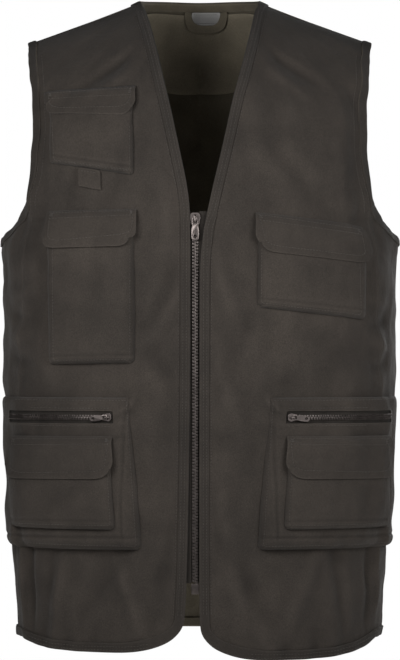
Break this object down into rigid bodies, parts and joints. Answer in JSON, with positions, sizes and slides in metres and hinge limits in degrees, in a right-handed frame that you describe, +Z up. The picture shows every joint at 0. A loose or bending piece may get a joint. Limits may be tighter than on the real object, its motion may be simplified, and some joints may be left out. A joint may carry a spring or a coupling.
{
  "type": "utility vest",
  "caption": "Sleeveless work vest in its worn form: zip front, flapped chest pockets, zipped cargo pockets with patch pockets at the hem, hanger loop. The zip pull tabs swing.",
  "frame": {"origin": "midway between the two points where the shoulder seams meet the neckline", "axes": "+Z up from the hem to the shoulders; -Y the way the wearer faces; +X towards the wearer's left"},
  "size_m": [0.4402, 0.2879, 0.7198],
  "materials": {
    "cloth": "matt charcoal-brown twill",
    "binding": "matt woven binding tape",
    "zip_tape": "matt woven zip tape",
    "label": "satin woven label, bare",
    "zip_metal": "dark gunmetal, worn bright on its edges"
  },
  "bodies": {
    "vest": {"front_right": "cloth", "front_left": "cloth", "back": "cloth", "back_neck_facing": "cloth", "hanger_loop": "cloth", "upper_pocket": "cloth", "upper_pocket_flap": "cloth", "pen_loop": "cloth", "right_pocket": "cloth", "right_pocket_flap": "cloth", "left_pocket": "cloth", "left_pocket_flap": "cloth", "right_cargo_pocket": "cloth", "right_patch_pocket": "cloth", "right_patch_flap": "cloth", "left_cargo_pocket": "cloth", "left_patch_pocket": "cloth", "left_patch_flap": "cloth", "front_binding_right": "binding", "front_binding_left": "binding", "armhole_binding_right": "binding", "armhole_binding_left": "binding", "neck_binding": "binding", "hem_binding": "binding", "zip_tape_right": "zip_tape", "zip_tape_left": "zip_tape", "right_cargo_zip_tape": "zip_tape", "left_cargo_zip_tape": "zip_tape", "zip_chain": "zip_metal", "zip_slider": "zip_metal", "zip_box": "zip_metal", "right_cargo_zip_chain": "zip_metal", "right_cargo_slider": "zip_metal", "left_cargo_zip_chain": "zip_metal", "left_cargo_slider": "zip_metal", "neck_label": "label"},
    "zip_puller": {"zip_puller": "zip_metal"},
    "right_cargo_puller": {"right_cargo_puller": "zip_metal"},
    "left_cargo_puller": {"left_cargo_puller": "zip_metal"}
  },
  "joints": [
    {"name": "zip_puller_swing", "type": "hinge", "parent": "vest", "child": "zip_puller", "pos_m": [-0.00472, -0.14719, -0.24091], "axis": [-1, 0.0086, 0], "range_deg": [0, 170]},
    {"name": "right_cargo_puller_swing", "type": "hinge", "parent": "vest", "child": "right_cargo_puller", "pos_m": [-0.09955, -0.14655, -0.45322], "axis": [-0.0725, 0.0535, 0.9959], "range_deg": [0, 170]},
    {"name": "left_cargo_puller_swing", "type": "hinge", "parent": "vest", "child": "left_cargo_puller", "pos_m": [0.09956, -0.14786, -0.45345], "axis": [-0.0905, 0.0036, -0.9959], "range_deg": [0, 170]}
  ]
}
